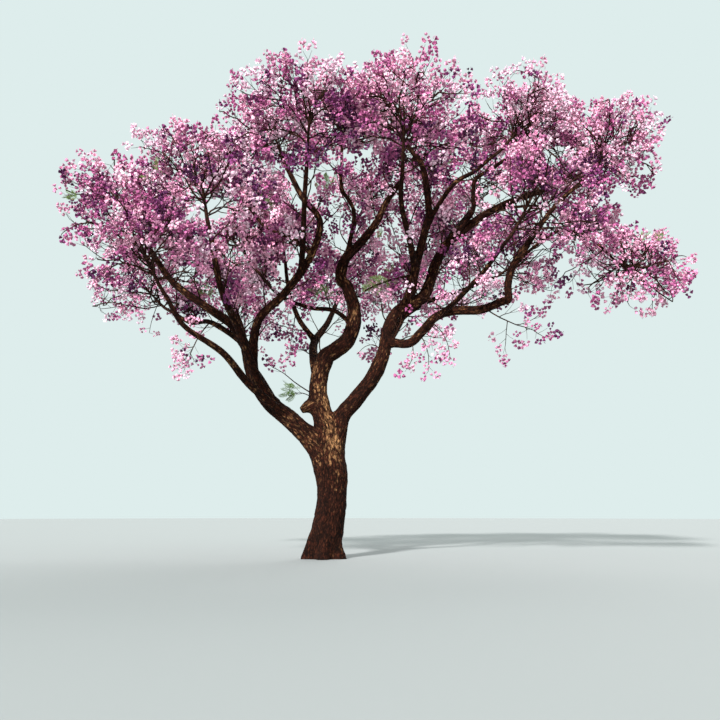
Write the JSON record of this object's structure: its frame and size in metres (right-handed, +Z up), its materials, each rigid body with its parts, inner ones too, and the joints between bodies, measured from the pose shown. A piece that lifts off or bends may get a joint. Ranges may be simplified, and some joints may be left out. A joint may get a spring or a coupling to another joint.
{
  "type": "jacaranda tree",
  "caption": "Mature jacaranda in full bloom: leaning trunk with root flare, winding boughs and an open, spreading crown of mauve blossom.",
  "frame": {"origin": "centre of the flat cut under the trunk, on the ground", "axes": "+Z up; +X to the right across the broad face of the crown, where the right bough leans out; +Y away from that face"},
  "size_m": [18.3421, 14.4401, 15.2077],
  "materials": {
    "bark": "rough grey-brown bark in small upright plates parted by fissures",
    "blossom": "soft mauve to violet trumpet flowers in loose sprays, with a few fern-like green leaves"
  },
  "bodies": {
    "root": {"blossom_back": "blossom", "blossom_back_left": "blossom", "blossom_back_outer": "blossom", "blossom_back_right": "blossom", "blossom_back_top": "blossom", "blossom_front": "blossom", "blossom_front_left": "blossom", "blossom_inner_left": "blossom", "blossom_inner_right": "blossom", "blossom_left_back": "blossom", "blossom_left_front": "blossom", "blossom_left_front_low": "blossom", "blossom_left_low": "blossom", "blossom_left_outer": "blossom", "blossom_left_top": "blossom", "blossom_low_front": "blossom", "blossom_low_right_arch": "blossom", "blossom_low_right_outer": "blossom", "blossom_right_arch": "blossom", "blossom_right_back": "blossom", "blossom_right_hook": "blossom", "blossom_right_outer": "blossom", "blossom_side_left": "blossom", "blossom_top": "blossom", "blossom_top_left": "blossom", "blossom_upright_upper": "blossom", "bough_back": "bark", "bough_back_left": "bark", "bough_back_outer": "bark", "bough_back_right": "bark", "bough_back_top": "bark", "bough_front": "bark", "bough_front_left": "bark", "bough_inner_left": "bark", "bough_inner_right": "bark", "bough_left": "bark", "bough_left_back": "bark", "bough_left_front": "bark", "bough_left_front_low": "bark", "bough_left_low": "bark", "bough_left_outer": "bark", "bough_left_top": "bark", "bough_low_front": "bark", "bough_low_right": "bark", "bough_low_right_arch": "bark", "bough_low_right_outer": "bark", "bough_right": "bark", "bough_right_arch": "bark", "bough_right_back": "bark", "bough_right_hook": "bark", "bough_right_inner": "bark", "bough_right_outer": "bark", "bough_side_left": "bark", "bough_top": "bark", "bough_top_left": "bark", "bough_upright_lower": "bark", "bough_upright_middle": "bark", "bough_upright_upper": "bark", "trunk": "bark"}
  },
  "joints": []
}
